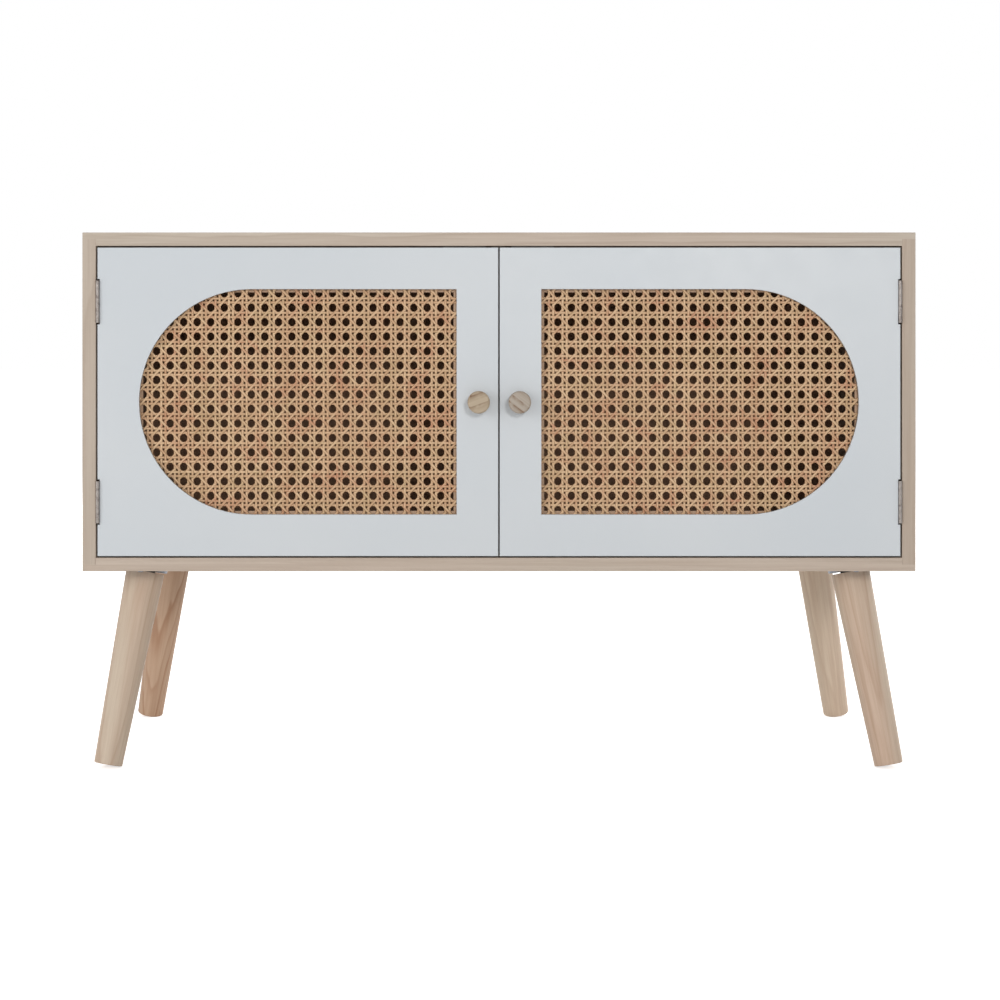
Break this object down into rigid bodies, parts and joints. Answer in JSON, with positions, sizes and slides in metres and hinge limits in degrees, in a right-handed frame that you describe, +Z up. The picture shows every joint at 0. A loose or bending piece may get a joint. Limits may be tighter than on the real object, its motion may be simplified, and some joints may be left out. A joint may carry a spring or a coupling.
{
  "type": "record cabinet",
  "caption": "Low wooden record cabinet on splayed tapered legs, with painted hinged doors whose half-round openings hold woven cane.",
  "frame": {"origin": "on the floor, under the middle of the cabinet's bounding box with the knobs included", "axes": "+X to the right seen from the front, +Y from the doors to the back, +Z up"},
  "size_m": [0.9, 0.392, 0.5832],
  "materials": {
    "case_wood": "washed pale wood, fine grain along the boards, matt",
    "leg_wood": "pale turned softwood with long streaks, matt",
    "knob_wood": "pale turned wood, matt",
    "bead_wood": "plain wood bead, matt",
    "back_board": "thin pressed board, matt",
    "door_paint": "cool light grey paint, satin",
    "cane": "woven rattan cane, natural, slight sheen",
    "hinge_steel": "plain plated steel, satin",
    "steel": "zinc plated steel, satin",
    "catch_plastic": "off-white moulded plastic",
    "magnet": "dark sintered magnet"
  },
  "bodies": {
    "cabinet": {"top_panel": "case_wood", "bottom_panel": "case_wood", "left_side_panel": "case_wood", "right_side_panel": "case_wood", "centre_divider": "case_wood", "back_panel": "back_board", "back_panel_nails": "steel", "left_upper_hinge_case_leaf": "hinge_steel", "left_upper_hinge_pin": "hinge_steel", "left_lower_hinge_case_leaf": "hinge_steel", "left_lower_hinge_pin": "hinge_steel", "left_catch": "catch_plastic", "right_upper_hinge_case_leaf": "hinge_steel", "right_upper_hinge_pin": "hinge_steel", "right_lower_hinge_case_leaf": "hinge_steel", "right_lower_hinge_pin": "hinge_steel", "right_catch": "catch_plastic", "case_hinge_screws": "hinge_steel", "catch_magnets": "magnet", "catch_screws": "steel", "front_left_leg": "leg_wood", "front_left_leg_plate": "steel", "front_left_leg_stud": "steel", "front_right_leg": "leg_wood", "front_right_leg_plate": "steel", "front_right_leg_stud": "steel", "rear_left_leg": "leg_wood", "rear_left_leg_plate": "steel", "rear_left_leg_stud": "steel", "rear_right_leg": "leg_wood", "rear_right_leg_plate": "steel", "rear_right_leg_stud": "steel", "leg_plate_screws": "steel"},
    "left_door": {"left_door_panel": "door_paint", "left_cane_rising": "cane", "left_cane_falling": "cane", "left_cane_crossers": "cane", "left_cane_uprights": "cane", "left_cane_retainer": "bead_wood", "left_knob": "knob_wood", "left_knob_screw": "steel", "left_upper_hinge_door_leaf": "hinge_steel", "left_lower_hinge_door_leaf": "hinge_steel", "left_door_hinge_screws": "hinge_steel", "left_strike_plate": "steel", "left_strike_screws": "steel"},
    "right_door": {"right_door_panel": "door_paint", "right_cane_rising": "cane", "right_cane_falling": "cane", "right_cane_crossers": "cane", "right_cane_uprights": "cane", "right_cane_retainer": "bead_wood", "right_knob": "knob_wood", "right_knob_screw": "steel", "right_upper_hinge_door_leaf": "hinge_steel", "right_lower_hinge_door_leaf": "hinge_steel", "right_door_hinge_screws": "hinge_steel", "right_strike_plate": "steel", "right_strike_screws": "steel"}
  },
  "joints": [
    {"name": "left_door_hinge", "type": "hinge", "parent": "cabinet", "child": "left_door", "pos_m": [-0.4333, -0.175, 0.40017], "axis": [0, 0, -1], "range_deg": [0, 175]},
    {"name": "right_door_hinge", "type": "hinge", "parent": "cabinet", "child": "right_door", "pos_m": [0.4333, -0.175, 0.40017], "axis": [0, 0, 1], "range_deg": [0, 175]}
  ]
}
